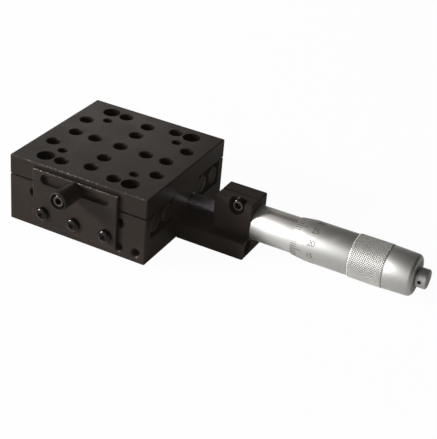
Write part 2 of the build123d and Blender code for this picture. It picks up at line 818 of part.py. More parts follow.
thimble = turned(
    (
        (edge_x, thimble_bore),
        (edge_x, thimble_bore + edge_wall),
        (bevel_end, thimble_radius),
        (knurl_start, thimble_radius),
        (knurl_start + knurl_break, knurl_radius),
        (knurl_end - knurl_break, knurl_radius),
        (knurl_end, knurl_radius - knurl_break),
        (knurl_end, spigot_radius + fit),
        (thimble_floor, spigot_radius + fit),
        (thimble_floor, thimble_bore),
    )
)
thimble.part.label = "thimble"
export_step(thimble.part, "parts/thimble.step")

thimble_cap = turned(
    (
        (knurl_end, end_shank_radius + fit),
        (knurl_end, cap_neck_radius),
        (knurl_end + cap_neck, cap_neck_radius),
        (knurl_end + cap_neck, cap_radius),
        (cap_end, cap_radius - cap_taper),
        (cap_end, end_shank_radius + fit),
    ),
    rounded_corner=4,
    rounding=cap_round,
)
thimble_cap.part.label = "thimble_cap"
export_step(thimble_cap.part, "parts/thimble_cap.step")

end_screw = turned(
    (
        (spigot_end - end_shank_depth, 0),
        (spigot_end - end_shank_depth, end_shank_radius - thread_fit),
        (cap_end, end_shank_radius - thread_fit),
        (cap_end, end_neck_radius),
        (cap_end + end_neck_length, end_neck_radius),
        (cap_end + end_neck_length, end_screw_radius),
        (screw_end - end_screw_bevel, end_screw_radius),
        (screw_end, end_screw_radius - end_screw_bevel),
        (screw_end, 0),
    )
)
with end_screw:
    with Locations(Plane.XZ.offset(end_screw_radius - micrometer_y)):
        with Locations((cap_end + pin_hole_at, micrometer_z)):
            Hole(radius=pin_hole_radius, depth=2 * end_screw_radius)
end_screw.part.label = "end_screw"
export_step(end_screw.part, "parts/end_screw.step")

anvil = turned(
    (
        (half_side, 0),
        (half_side, anvil_radius - anvil_bevel),
        (half_side - anvil_bevel, anvil_radius),
        (half_side - anvil_head, anvil_radius),
        (half_side - anvil_head, anvil_shank_radius),
        (half_side - anvil_head - anvil_shank_length, anvil_shank_radius),
        (half_side - anvil_head - anvil_shank_length, 0),
    )
)
anvil.part.label = "anvil"
export_step(anvil.part, "parts/anvil.step")
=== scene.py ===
"""Looks of a crossed-roller translation stage with a micrometer head.

Sizes are in millimetres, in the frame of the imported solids: the origin is the middle of the base's
underside, +X points to the micrometer and -Y is the front, where the lock knob is.
"""

import math

import bmesh
import bpy
from mathutils import Matrix, Vector


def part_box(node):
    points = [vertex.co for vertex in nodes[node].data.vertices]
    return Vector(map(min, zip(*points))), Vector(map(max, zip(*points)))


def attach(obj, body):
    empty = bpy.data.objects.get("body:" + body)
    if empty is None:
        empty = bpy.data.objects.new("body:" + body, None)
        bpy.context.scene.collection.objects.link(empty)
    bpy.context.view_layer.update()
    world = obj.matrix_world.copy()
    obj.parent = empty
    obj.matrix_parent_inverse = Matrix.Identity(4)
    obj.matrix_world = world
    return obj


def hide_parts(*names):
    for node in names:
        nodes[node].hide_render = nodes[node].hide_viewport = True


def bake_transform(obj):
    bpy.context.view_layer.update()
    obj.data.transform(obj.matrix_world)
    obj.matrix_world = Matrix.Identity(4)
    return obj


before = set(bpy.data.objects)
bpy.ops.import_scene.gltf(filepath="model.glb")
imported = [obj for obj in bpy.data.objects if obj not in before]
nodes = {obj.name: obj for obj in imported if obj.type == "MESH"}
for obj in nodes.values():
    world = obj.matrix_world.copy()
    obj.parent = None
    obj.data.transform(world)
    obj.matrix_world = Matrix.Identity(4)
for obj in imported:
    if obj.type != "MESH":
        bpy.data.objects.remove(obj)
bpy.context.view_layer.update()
scene = bpy.context.scene
mm = 0.001
same_corner = 0.001 * mm  # corners closer than this are merged
origin = (0, 0, 0)
x_way = Vector((1, 0, 0))
y_way = Vector((0, 1, 0))
z_way = Vector((0, 0, 1))


# Shop tools: what the pieces below are made with


def pick(*pieces):
    """Selects these pieces alone. The last one is active."""
    bpy.ops.object.select_all(action="DESELECT")
    for piece in pieces:
        piece.select_set(True)
    bpy.context.view_layer.objects.active = pieces[-1]


def edit(piece):
    """Opens a piece in edit mode with nothing selected."""
    pick(piece)
    bpy.ops.object.mode_set(mode="EDIT")
    bpy.ops.mesh.select_all(action="DESELECT")


def close():
    """Back to object mode, with corners as what an open piece picks."""
    bpy.ops.mesh.select_mode(type="VERT")
    bpy.ops.object.mode_set(mode="OBJECT")


def select_all():
    """Selects the whole of the open piece."""
    bpy.ops.mesh.select_all(action="SELECT")


def select_faces(piece, test):
    """Selects the faces of an open piece whose middle and normal, in millimetres, pass the test."""
    bpy.ops.mesh.select_mode(type="FACE")
    bpy.ops.mesh.select_all(action="DESELECT")
    sheet = bmesh.from_edit_mesh(piece.data)
    for face in sheet.faces:
        if test(face.calc_center_median() / mm, face.normal):
            face.select_set(True)
    bmesh.update_edit_mesh(piece.data)


def weld():
    """Merges the corners of the open piece that lie on each other."""
    select_all()
    bpy.ops.mesh.remove_doubles(threshold=same_corner)


def face_outward(inside=False):
    """Turns every face of the open piece outward, or inward for the wall of a hole."""
    select_all()
    bpy.ops.mesh.normals_make_consistent(inside=inside)


def apply_modifier(piece, kind, **settings):
    """Adds one modifier and applies it."""
    pick(piece)
    modifier = piece.modifiers.new(kind.lower(), kind)
    for setting, value in settings.items():
        setattr(modifier, setting, value)
    bpy.ops.object.modifier_apply(modifier=modifier.name)


def break_edges(piece, width):
    """Rounds every sharp edge."""
    apply_modifier(
        piece,
        "BEVEL",
        width=width * mm,
        segments=2,
        limit_method="ANGLE",
        angle_limit=math.radians(30),
        use_clamp_overlap=True,
    )


def cut_out(piece, tool):
    """Cuts a tool's shape out of a piece."""
    apply_modifier(piece, "BOOLEAN", operation="DIFFERENCE", object=tool, solver="EXACT")
    bpy.data.objects.remove(tool)


def smooth(piece, angle=35):
    """Shades a piece smooth, but for edges sharper than the angle."""
    pick(piece)
    bpy.ops.object.shade_smooth_by_angle(angle=math.radians(angle))


def coat(piece, finish_all_over):
    piece.data.materials.clear()
    piece.data.materials.append(finish_all_over)


def coat_faces(piece, finish_of_faces, test):
    """Gives the faces that pass the test one more finish."""
    piece.data.materials.append(finish_of_faces)
    edit(piece)
    select_faces(piece, test)
    piece.active_material_index = len(piece.data.materials) - 1
    bpy.ops.object.material_slot_assign()
    close()


def fitted(piece, finish_all_over, body, slot, *stands_for):
    """Gives a piece its finish and its body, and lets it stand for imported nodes."""
    coat(piece, finish_all_over)
    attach(piece, body)
    if stands_for:
        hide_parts(*stands_for)
    return piece


def copies(piece, places):
    """Copies of a flat piece at these places, joined into one mesh that takes the piece's name."""
    made = []
    for x, y in places:
        copy = piece.copy()
        copy.data = piece.data.copy()
        scene.collection.objects.link(copy)
        copy.data.transform(Matrix.Translation(Vector((x, y, 0)) * mm))
        made.append(copy)
    pick(*made)
    bpy.ops.object.join()
    joined = bpy.context.object
    name = piece.name
    bpy.data.objects.remove(piece)
    joined.name = name
    return joined


def traced(name, corners):
    """A new piece, left open: one line through these corners, which are in metres."""
    bpy.ops.mesh.primitive_plane_add(size=mm)
    piece = bpy.context.object
    piece.name = name
    bpy.ops.object.mode_set(mode="EDIT")
    bpy.ops.mesh.merge(type="CENTER")
    bpy.ops.transform.translate(value=corners[0])
    for before, after in zip(corners, corners[1:]):
        bpy.ops.mesh.extrude_vertices_move(TRANSFORM_OT_translate={"value": after - before})
    return piece


def ring(*corners):
    """A closed outline."""
    return (*corners, corners[0])


# Lines that turned pieces are made on: a point, the way along, and a way across
head_y = 6.1
head_z = 12.15
head_line = (Vector((0, head_y, head_z)), x_way, z_way)


def front_line(x, z):
    return (Vector((x, 0, z)), -y_way, z_way)


def turned(name, line, outline, steps=96, rounding=0):
    """A turned piece. The outline gives places along the line, each with its radius."""
    start, along, across = line
    corners = [(start + along * place + across * radius) * mm for place, radius in outline]
    piece = traced(name, corners)
    select_all()
    bpy.ops.mesh.spin(steps=steps, angle=math.tau, center=start * mm, axis=along)
    weld()
    face_outward()
    close()
    if rounding:
        break_edges(piece, rounding)
    smooth(piece)
    return piece


def wrap_on_head(piece, radius, angle):
    """Lays a flat sheet round the head from an angle: y runs over the top, z stands off."""
    for corner in piece.data.vertices:
        x, y, z = corner.co / mm
        turn = math.radians(angle) - y / radius
        reach = radius + z
        across = reach * math.cos(turn)
        up = reach * math.sin(turn)
        corner.co = Vector((x, head_y + across, head_z + up)) * mm


# Shader sums


def found(sockets, key):
    """A socket by its identifier, or else by its name or place in the list."""
    for socket in sockets:
        if socket.identifier == key:
            return socket
    return sockets[key]


class Wire:
    """A node's output that takes part in sums."""

    def __init__(self, desk, socket):
        self.desk = desk
        self.socket = socket

    def __add__(self, other):
        return self.desk.maths("ADD", self, other)

    def __radd__(self, other):
        return self.desk.maths("ADD", other, self)

    def __rsub__(self, other):
        return self.desk.maths("SUBTRACT", other, self)

    def __mul__(self, other):
        return self.desk.maths("MULTIPLY", self, other)

    def __rmul__(self, other):
        return self.desk.maths("MULTIPLY", other, self)


class Desk:
    """The node tree of one material or world."""

    def __init__(self, owner):
        owner.use_nodes = True
        self.tree = owner.node_tree
        self.tree.nodes.clear()

    def node(self, kind, settings=(), inputs=(), output=0):
        """One node: its settings first, then the values or wires of its sockets."""
        made = self.tree.nodes.new("ShaderNode" + kind)
        for setting, value in dict(settings).items():
            setattr(made, setting, value)
        for name, value in dict(inputs).items():
            socket = found(made.inputs, name)
            if isinstance(value, Wire):
                self.tree.links.new(value.socket, socket)
            else:
                socket.default_value = value
        return Wire(self, found(made.outputs, output)) if made.outputs else None

    def maths(self, operation, first, second):
        return self.node("Math", {"operation": operation}, {"Value": first, "Value_001": second})

    def range(self, value, low, high):
        """A soft step from 0 to 1, as the value goes from low to high."""
        return self.node(
            "MapRange",
            {"interpolation_type": "SMOOTHSTEP"},
            {"Value": value, "From Min": low, "From Max": high},
        )

    def blend(self, share, first, second):
        """The first colour, or the second where the share is 1."""
        return self.node(
            "Mix",
            {"data_type": "RGBA"},
            {"Factor_Float": share, "A_Color": first, "B_Color": second},
            output="Result_Color",
        )

    def noise(self, size, detail=2.0, stretch=None):
        """Noise whose features are about this many millimetres."""
        where = self.node("TexCoord", output="Object")
        if stretch:
            where = self.node("Mapping", (), {"Vector": where, "Scale": stretch})
        return self.node(
            "TexNoise", (), {"Vector": where, "Scale": 1 / (size * mm), "Detail": detail}
        )

    def bump(self, height, strength, distance):
        return self.node(
            "Bump", (), {"Height": height, "Strength": strength, "Distance": distance * mm}
        )

    def surface(self, **sockets):
        """The finish itself, with its sockets in the words of the Principled shader."""
        names = {name.replace("_", " "): value for name, value in sockets.items()}
        shader = self.node("BsdfPrincipled", (), names)
        self.node("OutputMaterial", (), {"Surface": shader})


def finish(name):
    material = bpy.data.materials.new(name)
    return material, Desk(material)


def grey(level, warmth=0.0):
    """A grey a little towards red brown."""
    return (level * (1 + warmth), level, level * (1 - 0.4 * warmth), 1)


def scaled(colour, factor, lift=0.0):
    """A colour made lighter or darker."""
    return tuple(min(1.0, part * factor + lift) for part in colour[:3]) + (1,)


# Finishes

# A faint glow painted into the black finishes through their emission, though they are no lamp:
# painted light that lifts their deepest shade.
painted_glow_colour = (0.0055, 0.0045, 0.0035, 1)  # light that a lens spreads over a picture's darkest parts
brown_sheen = (1, 0.82, 0.75, 1)


def anodised(name, level, wear, gloss, painted_glow=1.0):
    """Black anodised aluminium: a fine blasted grain, faint brown clouds and worn places."""
    material, desk = finish(name)
    clouds = desk.range(desk.noise(14, 3), 0.35, 0.7)
    colour = desk.blend(clouds, grey(level, 0.2), grey(level * 1.2, 0.36))
    rubs = desk.range(desk.noise(3.2, 4, stretch=(1, 1, 3)), 0.62, 0.78)
    colour = desk.blend(rubs * wear, colour, grey(level * 3, 0.25))
    grain = desk.noise(0.16, 2)
    desk.surface(
        Base_Color=colour,
        Roughness=0.27 + 0.1 * clouds + 0.09 * grain,
        Specular_IOR_Level=gloss,
        Specular_Tint=brown_sheen,
        # The emission is a painted glow, not a lamp.
        Emission_Color=painted_glow_colour,
        Emission_Strength=painted_glow,
        Normal=desk.bump(grain, 0.35, 0.02),
    )
    return material


def worn_edge_with_painted_highlight(name, level, metal, wear):
    """The anodised edges of a block, worn through to unanodised aluminium in short dashes; the
    dashes are also painted highlight, standing in for light caught along the edges.
    """
    material, desk = finish(name)
    dashes = desk.range(desk.noise(0.55, 4), 0.5, 0.64)
    runs = desk.range(desk.noise(9, 2), 0.36, 0.58)
    # The worn dashes are partly wear and partly painted highlight.
    worn_highlit_dashes = dashes * runs * wear
    desk.surface(
        Base_Color=desk.blend(worn_highlit_dashes, grey(level, 0.1), grey(metal, 0.06)),
        Metallic=worn_highlit_dashes,
        Roughness=0.5 - 0.12 * dashes,
        Specular_IOR_Level=0.2,
        Specular_Tint=brown_sheen,
        Normal=desk.bump(dashes, 0.3, 0.02),
    )
    return material


def steel(name, level, roughness, grind=None, warmth=0.0, painted_glow=0.0):
    """Steel with grinding marks or drawing lines, stretched by grind, and faint stains."""
    material, desk = finish(name)
    lines = desk.noise(0.12, 3, stretch=grind)
    stains = desk.range(desk.noise(2.5, 3), 0.4, 0.75)
    colour = desk.blend(stains * 0.25, grey(level, warmth), grey(level * 0.55, warmth + 0.08))
    desk.surface(
        Base_Color=colour,
        Metallic=1.0,
        Roughness=roughness + 0.14 * lines + 0.08 * stains,
        # The emission is a painted glow, not a lamp.
        Emission_Color=painted_glow_colour,
        Emission_Strength=painted_glow,
        Normal=desk.bump(lines, 0.25, 0.01),
    )
    return material


def satin_chrome(name, level, roughness):
    """Satin chrome: a very fine even grain with faint turning lines round the head."""
    material, desk = finish(name)
    grain = desk.noise(0.14, 3)
    turning = desk.noise(0.3, 2, stretch=(1, 0.02, 0.02))
    haze = desk.range(desk.noise(5, 2), 0.35, 0.7)
    green = (level * 0.985, level, level * 0.975, 1)
    colour = desk.blend(haze, green, grey(level * 0.95, 0.012))
    colour = desk.blend(desk.range(grain, 0.3, 0.7) * 0.25, colour, grey(level * 0.75, 0.01))
    desk.surface(
        Base_Color=colour,
        Metallic=1.0,
        Roughness=roughness + 0.05 * haze + 0.06 * grain,
        Normal=desk.bump(grain * 0.8 + turning * 0.2, 0.3, 0.012),
    )
    return material


def ground_round(name, colour, roughness):
    """Polished steel with fine grinding lines round the piece, which spread its shine, and darker
    stripes along it that paint in reflections.
    """
    material, desk = finish(name)
    lines = desk.noise(0.16, 2, stretch=(1, 0.03, 0.03))
    # Darker stripes along the piece: painted reflection.
    painted_reflection_stripes = desk.range(desk.noise(1.6, 2, stretch=(0.1, 1, 1)), 0.4, 0.65)
    desk.surface(
        Base_Color=desk.blend(painted_reflection_stripes, colour, scaled(colour, 0.75)),
        Metallic=1.0,
        Roughness=roughness + 0.06 * painted_reflection_stripes,
        Normal=desk.bump(lines, 0.25, 0.02),
    )
    return material


def marking(name, colour):
    """Paint in the engraved marks, slightly worn."""
    material, desk = finish(name)
    worn = desk.range(desk.noise(0.5, 3), 0.45, 0.8)
    desk.surface(
        Base_Color=desk.blend(worn, colour, scaled(colour, 1.8, lift=0.02)),
        Roughness=0.55 + 0.15 * worn,
        Specular_IOR_Level=0.12,
    )
    return material


black_table = anodised("black_anodised_table", 0.0075, 0.5, 0.25)
black_base = anodised("black_anodised_base", 0.0075, 0.6, 0.27)
# Edge finishes whose worn dashes are partly wear and partly painted highlight.
table_edge_wear_highlight = worn_edge_with_painted_highlight("table_edges_worn_painted_highlight", 0.01, 0.5, 0.3)
base_edge_wear_highlight = worn_edge_with_painted_highlight("base_edges_worn_painted_highlight", 0.01, 0.4, 0.15)
plate_edge_wear_highlight = worn_edge_with_painted_highlight("plate_edges_worn_painted_highlight", 0.015, 0.6, 0.4)
knob_rim_wear_highlight = worn_edge_with_painted_highlight("knob_rim_worn_painted_highlight", 0.006, 0.4, 0.08)
# Darker and duller than the table: painted shade for the threads and the deep parts of the holes.
threads_painted_shade = anodised("black_threads_painted_shade", 0.003, 0.8, 0.1, painted_glow=0.6)
# The knob's own black, also used as painted shade on the locking plate.
knob_black_and_plate_shade = anodised("black_anodised_knob_and_painted_shade", 0.005, 0.4, 0.15)
black_oxide = steel("black_oxide_screws", 0.026, 0.1, warmth=0.06, painted_glow=0.6)
# Near-black steel for the rails and their end screws: painted shade, as they lie in the shade
# between base and table.
rail_steel_painted_shade = steel("rail_ends_painted_shade", 0.06, 0.3, grind=(1, 1, 0.08), warmth=0.1, painted_glow=1.2)
# A lighter steel for the ring round the socket screws' sockets: painted highlight.
socket_ring_painted_highlight = steel("socket_ring_highlight_steel", 0.12, 0.34, warmth=0.16)
anvil_steel = steel("anvil_steel", 0.3, 0.2, warmth=0.1)
pin_steel = steel("ground_pin_steel", 0.45, 0.22, grind=(0.05, 1, 1))
spring_steel = steel("drawn_spring_wire", 0.4, 0.3, grind=(1, 0.2, 0.2))
roller_steel = steel("roller_steel", 0.55, 0.16)
brass = steel("cage_brass", 0.42, 0.3, warmth=0.35)
chrome = satin_chrome("satin_chrome", 0.54, 0.44)
sleeve_chrome = satin_chrome("satin_chrome_sleeve", 0.7, 0.48)
# The knurl's chrome: lighter on the diamonds' tops as painted highlight, darker in the grooves as
# painted shade.
knurl_chrome_painted_highlight = satin_chrome("knurled_chrome_painted_highlight", 0.97, 0.46)
knurl_painted_groove_shade = satin_chrome("grooves_of_knurl_painted_shade", 0.6, 0.5)
# A bluish tint that paints in the colour of a reflection.
bright_spindle = ground_round("polished_spindle", (0.88, 0.85, 0.95, 1), 0.3)
scale_brown = marking("scale_paint_brown", (0.06, 0.022, 0.016, 1))
scale_grey = marking("scale_paint_grey", (0.045, 0.038, 0.032, 1))

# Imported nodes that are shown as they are
finish_of_node = {
    "outer_rail_front": rail_steel_painted_shade,
    "outer_rail_rear": rail_steel_painted_shade,
    "inner_rail_front": rail_steel_painted_shade,
    "inner_rail_rear": rail_steel_painted_shade,
    "base_rail_screws": black_oxide,
    "table_rail_screws": black_oxide,
    "preload_screws": black_oxide,
    "bracket_screws": black_oxide,
    "micrometer_body": chrome,
    "adjusting_nut": chrome,
    "base_spring_pins": pin_steel,
    "table_spring_pins": pin_steel,
    "roller_cage_front": brass,
    "roller_cage_rear": brass,
    "rollers_front": roller_steel,
    "rollers_rear": roller_steel,
}

for shown_node, node_finish in finish_of_node.items():
    coat(nodes[shown_node], node_finish)


# Table, base, locking plate and bracket


def merged_copy(node, name):
    """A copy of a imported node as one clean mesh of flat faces."""
    piece = bpy.data.objects.new(name, nodes[node].data.copy())
    scene.collection.objects.link(piece)
    edit(piece)
    weld()
    bpy.ops.mesh.dissolve_limited(angle_limit=math.radians(0.5))
    close()
    pick(piece)
    bpy.ops.mesh.customdata_custom_splitnormals_clear()
    return piece


def wear_and_highlight_outer_edges(piece, worn_highlit_finish, low, high):
    """Gives the chamfers along the outside of a block the worn finish with painted highlight, but
    not at its right end, which is in shade and gets none.
    """

    def on_outer_edge(middle, normal):
        leaning = sorted(abs(part) for part in normal)
        near = [
            min(abs(middle[way] - low[way]), abs(middle[way] - high[way])) < 0.5 for way in range(3)
        ]
        # Chamfers that face right, into the shade, get no painted highlight.
        return 0.6 < leaning[1] < 0.8 and sum(near) >= 2 and normal.x < 0.5

    coat_faces(piece, worn_highlit_finish, on_outer_edge)


def block(node, finish_of_block, worn_highlit_finish, body):
    """A milled block with its outer edges worn and given painted highlights."""
    low, high = (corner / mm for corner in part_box(node))
    piece = merged_copy(node, node + "_dressed")
    fitted(piece, finish_of_block, body, "black_anodised", node)
    wear_and_highlight_outer_edges(piece, worn_highlit_finish, low, high)
    smooth(piece, 25)
    return piece


# The table's holes, seen from above
m6_holes = [(12.5, 25), (12.5, -25), (-12.5, 25), (-12.5, -25), (0, 22.2), (0, -22.2)]
m6_holes += [(0, 0), (12.5, 0), (-12.5, 0), (0, 12.5), (0, -12.5), (22.2, 0), (-22.2, 0)]
m6_holes += [(25, 12.5), (25, -12.5), (-25, 12.5), (-25, -12.5)]
m4_holes = [(17.2, 17.2), (17.2, -17.2), (-17.2, 17.2), (-17.2, -17.2)]
access_holes = [(20.1, 25), (20.1, -25), (-20.1, 25), (-20.1, -25)]
m6_core = 2.5
m6_major = 3.0
m6_pitch = 1.0
m6_top = 29.35  # threads start under the holes' bevelled mouths
m4_core = 1.65
m4_major = 2.0
m4_pitch = 0.7
m4_top = 29.5
access_radius = 3.8


def in_a_hole(middle, places, radius):
    """Whether a face's middle is in one of the holes, or on its wall."""
    reach = radius + 0.1
    return any(math.hypot(middle.x - x, middle.y - y) < reach for x, y in places)


def open_hole_walls(piece, places, core):
    """Takes out the smooth walls of tapped holes, where threads go."""
    lowest = 21.0

    def on_wall(middle, normal):
        upright = abs(normal.z) <= 0.1
        return upright and middle.z >= lowest and in_a_hole(middle, places, core)

    edit(piece)
    select_faces(piece, on_wall)
    bpy.ops.mesh.delete(type="FACE")
    close()


def paint_shade_in_holes(piece, places):
    """Paints shade on what lies deep in the table's holes, the access holes too: the threads'
    darker, duller black.
    """
    lowest = 21.8
    highest = 29.7

    def deep(middle, normal):
        return lowest <= middle.z <= highest and in_a_hole(middle, places, access_radius)

    coat_faces(piece, threads_painted_shade, deep)


def thread(name, core, major, pitch, top, turns, places):
    """A female thread that runs down from the top, modelled once and copied to each hole."""
    ridge = [(major, 0), (core, -0.38 * pitch), (core, -0.62 * pitch), (major, -pitch)]
    helix = traced(name, [Vector((radius, 0, top + height)) * mm for radius, height in ridge])
    close()
    steps = 20
    apply_modifier(
        helix,
        "SCREW",
        axis="Z",
        angle=math.tau,
        screw_offset=-pitch * mm,
        iterations=turns,
        steps=steps,
        render_steps=steps,
        use_merge_vertices=True,
        merge_threshold=same_corner,
    )
    edit(helix)
    weld()
    face_outward(inside=True)
    close()
    smooth(helix, 30)
    return copies(helix, places)


def drilled_table():
    """The table with cut threads in its M6 and M4 holes."""
    table = block("table", black_table, table_edge_wear_highlight, "table")
    open_hole_walls(table, m6_holes, m6_core)
    open_hole_walls(table, m4_holes, m4_core)
    paint_shade_in_holes(table, m6_holes + m4_holes + access_holes)
    wide = thread("table_m6_threads", m6_core, m6_major, m6_pitch, m6_top, 7, m6_holes)
    fitted(wide, threads_painted_shade, "table", "black_anodised")
    fine = thread("table_m4_threads", m4_core, m4_major, m4_pitch, m4_top, 9, m4_holes)
    fitted(fine, threads_painted_shade, "table", "black_anodised")


def return_springs():
    """The hidden springs, whose left hooks sit on the table's pins and right ones on the base's."""
    springs = merged_copy("return_springs", "return_springs_dressed")
    coat(springs, spring_steel)
    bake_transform(springs)
    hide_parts("return_springs")
    smooth(springs)


def locking_plate():
    """The locking plate, with the knob's darker finish painted on its top and right sides as shade.
    """
    plate = block("locking_plate", black_base, plate_edge_wear_highlight, "base")
    # Painted shade on the plate's top and right sides.
    coat_faces(plate, knob_black_and_plate_shade, lambda middle, normal: max(normal.z, normal.x) > 0.9)


# Micrometer head: places along it and radii
running_fit = 0.03
core_radius = 6.0
sleeve_start = 63.0
sleeve_end = 96.0
sleeve_radius = 7.5
thimble_edge = 81.2
thimble_edge_radius = 7.85
bevel_end = 87.2
thimble_radius = 8.65
thimble_bore = 7.6
thimble_floor = 114.5  # the thimble is hollow up to here
knurl_start = 105.9
knurl_end = 120.5
knurl_bed = 8.73
knurl_root = 8.72  # the diamonds start just under the bed
knurl_rise = 0.35
groove_radius = 8.5
groove_side = 0.15  # the grooves beside the knurl have sloping sides
cap_end = 132.3
end_screw_end = 136.9
spindle_radius = 3.25
spindle_thread = 3.7
tail_radius = 3.0
end_thread = 2.0
table_end = 32.5


def micrometer_sleeve():
    bore = core_radius + running_fit
    sleeve = turned(
        "scale_sleeve_dressed",
        head_line,
        ring(
            (sleeve_start, bore),
            (sleeve_start, sleeve_radius),
            (sleeve_end, sleeve_radius),
            (sleeve_end, bore),
        ),
        steps=128,
        rounding=0.12,
    )
    fitted(sleeve, sleeve_chrome, "base", "satin_chrome", "scale_sleeve")


def micrometer_thimble():
    tail_bore = tail_radius + running_fit
    thimble = turned(
        "thimble_dressed",
        head_line,
        ring(
            (thimble_edge, thimble_bore),
            (thimble_edge, thimble_edge_radius),
            (bevel_end, thimble_radius),
            (knurl_start - groove_side, thimble_radius),
            (knurl_start, groove_radius),
            (knurl_start + groove_side, knurl_bed),
            (knurl_end - groove_side, knurl_bed),
            (knurl_end, groove_radius),
            (knurl_end, tail_bore),
            (thimble_floor, tail_bore),
            (thimble_floor, thimble_bore),
        ),
        steps=128,
        rounding=0.06,
    )
    fitted(thimble, chrome, "thimble", "satin_chrome", "thimble")


def knurl_diamonds(name, columns, rows, start, half):
    """Columns and rows of small flat-topped diamonds, still in the flat."""
    half_x, half_y = half
    bpy.ops.mesh.primitive_plane_add(size=2 * mm)
    sheet = bpy.context.object
    sheet.name = name
    bpy.ops.object.mode_set(mode="EDIT")
    bpy.ops.transform.rotate(value=math.radians(45), orient_axis="Z", center_override=origin)
    to_corner = math.sqrt(2)
    scale = (half_x / to_corner, half_y / to_corner, 1)
    bpy.ops.transform.resize(value=scale, center_override=origin)
    bpy.ops.mesh.inset(thickness=min(half_x, half_y) * 0.3 * mm, depth=knurl_rise * mm)
    select_all()
    bpy.ops.transform.translate(value=Vector((*start, 0)) * mm)
    close()
    for count, step in ((columns, (2 * half_x, 0, 0)), (rows, (0, 2 * half_y, 0))):
        apply_modifier(
            sheet,
            "ARRAY",
            count=count,
            use_relative_offset=False,
            use_constant_offset=True,
            constant_offset_displace=Vector(step) * mm,
        )
    return sheet


def thimble_knurl():
    """The diamond knurl: two sets of diamonds, each between the other's."""
    rows = 57  # of each set
    columns = 15
    margin = 0.1
    half_x = (knurl_end - knurl_start - 2 * margin) / (2 * columns)
    half_y = math.tau * knurl_root / (2 * rows)
    half = (half_x, half_y)
    start = knurl_start + margin + half_x
    knurl = knurl_diamonds("thimble_knurl", columns, rows, (start, 0), half)
    between = knurl_diamonds("knurl_between", columns - 1, rows, (start + half_x, half_y), half)
    pick(between, knurl)
    bpy.ops.object.join()
    wrap_on_head(knurl, knurl_root, 90)
    fitted(knurl, knurl_chrome_painted_highlight, "thimble", "satin_chrome")
    flat_tops = knurl_root + 0.8 * knurl_rise

    def in_groove(middle, normal):
        return math.hypot(middle.y - head_y, middle.z - head_z) < flat_tops

    # The grooves get the darker chrome as painted shade.
    coat_faces(knurl, knurl_painted_groove_shade, in_groove)


def micrometer_cap():
    bore = end_thread + running_fit
    shoulder = knurl_end + 0.4
    cap = turned(
        "thimble_cap_dressed",
        head_line,
        ring(
            (knurl_end, bore),
            (knurl_end, groove_radius),
            (shoulder, groove_radius),
            (shoulder, 8.93),
            (130.65, 8.605),
            (131.25, 8.42),
            (131.8, 8.05),
            (132.15, 7.55),
            (cap_end, 6.9),
            (cap_end, bore),
        ),
        steps=128,
        rounding=0.05,
    )
    fitted(cap, chrome, "thimble", "satin_chrome", "thimble_cap")


def micrometer_end_screw():
    """The screw behind the cap, with the hole for a pin across its head."""
    shank = end_thread - 0.05
    neck = 3.0
    neck_end = cap_end + 0.5
    head = 4.05
    bevel = 0.4
    pin_hole = 0.8
    screw = turned(
        "end_screw_dressed",
        head_line,
        (
            (111.0, 0),
            (111.0, shank),
            (cap_end, shank),
            (cap_end, neck),
            (neck_end, neck),
            (neck_end, head),
            (end_screw_end - bevel, head),
            (end_screw_end, head - bevel),
            (end_screw_end, 0),
        ),
        steps=64,
        rounding=0.1,
    )
    bpy.ops.mesh.primitive_cylinder_add(
        vertices=32,
        radius=pin_hole * mm,
        depth=12 * mm,
        location=Vector((134.4, head_y, head_z)) * mm,
        rotation=y_way.to_track_quat("Z", "Y").to_euler(),
    )
    cut_out(screw, bpy.context.object)
    smooth(screw)
    fitted(screw, chrome, "thimble", "satin_chrome", "end_screw")


def micrometer_spindle():
    """The spindle: its bevelled tip, its thread's outside, and its tail with a bore."""
    tip = 32.55
    bevel = 0.4
    thread_start = 75.9
    tail_end = 120.0
    bore_end = 110.0
    spindle = turned(
        "spindle_dressed",
        head_line,
        (
            (tip, 0),
            (tip, spindle_radius - bevel),
            (tip + bevel, spindle_radius),
            (thread_start, spindle_radius),
            (thread_start, spindle_thread),
            (thimble_floor, spindle_thread),
            (thimble_floor, tail_radius),
            (tail_end, tail_radius),
            (tail_end, end_thread),
            (bore_end, end_thread),
            (bore_end, 0),
        ),
        rounding=0.04,
    )
    fitted(spindle, bright_spindle, "spindle", "polished_steel", "spindle")


def push_anvil():
    """The hard button in the table's end that the spindle pushes."""
    head = 3.6
    bevel = 0.3
    head_back = table_end - 0.8
    shank = 2.0
    shank_end = head_back - 2.4
    anvil = turned(
        "anvil_dressed",
        head_line,
        (
            (table_end, 0),
            (table_end, head - bevel),
            (table_end - bevel, head),
            (head_back, head),
            (head_back, shank),
            (shank_end, shank),
            (shank_end, 0),
        ),
        steps=64,
        rounding=0.08,
    )
    fitted(anvil, anvil_steel, "table", "bright_screws", "anvil")


drilled_table()
return_springs()
block("base", black_base, base_edge_wear_highlight, "base")
locking_plate()
block("micrometer_bracket", black_base, base_edge_wear_highlight, "base")
micrometer_sleeve()
micrometer_thimble()
thimble_knurl()
micrometer_cap()
micrometer_end_screw()
micrometer_spindle()
push_anvil()


# Screws and the lock knob

m3_shank = 1.45
m3_head = 2.75
m3_height = 3.0
m3_socket = 1.45  # to the hexagon's corners
m3_socket_depth = 1.4
plate_face = 34.3  # how far the plate's face is in front of the middle
plate_screw_z = 9.0
lock_z = 24.7
lock_screw_seat = 42.4
rail_end = 30.0
rail_screw_z = 15.9

# The pan head's outline: places in front of its seat, each with its radius
pan_dome = [
    (0, 2.9),
    (0.15, 3.0),
    (0.6, 2.97),
    (1.0, 2.85),
    (1.35, 2.62),
    (1.65, 2.27),
    (1.88, 1.8),
    (2.02, 1.2),
    (2.09, 0.6),
    (2.1, 0),
]
pan_height = pan_dome[-1][0]


